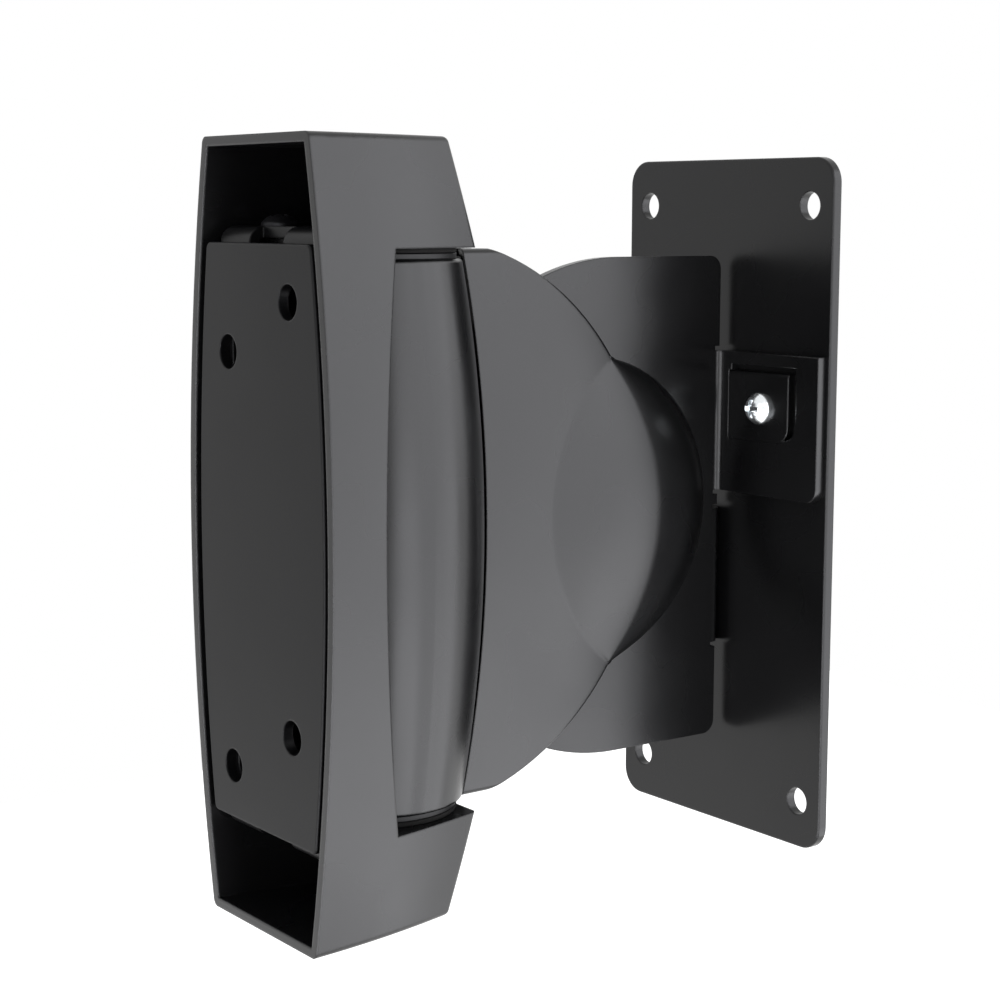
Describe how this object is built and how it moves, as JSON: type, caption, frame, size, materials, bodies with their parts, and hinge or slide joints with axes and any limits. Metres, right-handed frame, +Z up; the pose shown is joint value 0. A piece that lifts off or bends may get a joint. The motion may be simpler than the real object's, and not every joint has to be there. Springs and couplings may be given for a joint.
{
  "type": "speaker wall bracket",
  "caption": "Wall bracket for a loudspeaker: flat wall plate, folded leaf, domed arm that tilts and an open-fronted head that swivels on a barrel knuckle.",
  "frame": {"origin": "centre of the wall plate's back face, on the wall", "axes": "+Y into the wall, -Y towards the speaker, +X to the right seen from the room, +Z up"},
  "size_m": [0.0662, 0.1216, 0.1554],
  "materials": {
    "wall_coat": "fine-textured dark grey powder coat",
    "arm_coat": "fine-textured dark grey powder coat",
    "casting_coat": "fine-textured dark grey powder coat on cast alloy",
    "head_coat": "fine-textured dark grey powder coat on cast alloy",
    "speaker_coat": "dark grey powder coat",
    "bright_zinc": "bright zinc plate",
    "black_zinc": "black zinc plate",
    "nylon": "black nylon",
    "fibre": "grey friction fibre"
  },
  "bodies": {
    "wall": {"wall_plate": "wall_coat", "leaf_bracket": "wall_coat", "lock_catch": "wall_coat", "lock_screw": "bright_zinc", "tilt_bush": "nylon", "tilt_friction_discs": "fibre"},
    "arm": {"knuckle": "casting_coat", "arm_shell_right": "arm_coat", "arm_shell_left": "arm_coat", "shell_screws_right": "black_zinc", "shell_screws_left": "black_zinc", "tilt_bolt": "black_zinc", "tilt_spring_washer": "black_zinc", "tilt_nut": "black_zinc", "swivel_bush_upper": "nylon", "swivel_bush_lower": "nylon"},
    "head": {"casing": "head_coat", "swivel_frame": "speaker_coat", "speaker_plate": "speaker_coat", "shelf_screws": "black_zinc", "swivel_bolt": "black_zinc", "swivel_washers": "black_zinc", "swivel_spring_washer": "black_zinc", "swivel_nut": "black_zinc", "swivel_friction_discs": "fibre"}
  },
  "joints": [
    {"name": "tilt", "type": "hinge", "parent": "wall", "child": "arm", "pos_m": [0, -0.04, 0], "axis": [1, 0, 0], "range_deg": [-15, 15]},
    {"name": "swivel", "type": "hinge", "parent": "arm", "child": "head", "pos_m": [0, -0.0954, 0], "axis": [0, 0, 1], "range_deg": [-75, 75]}
  ]
}
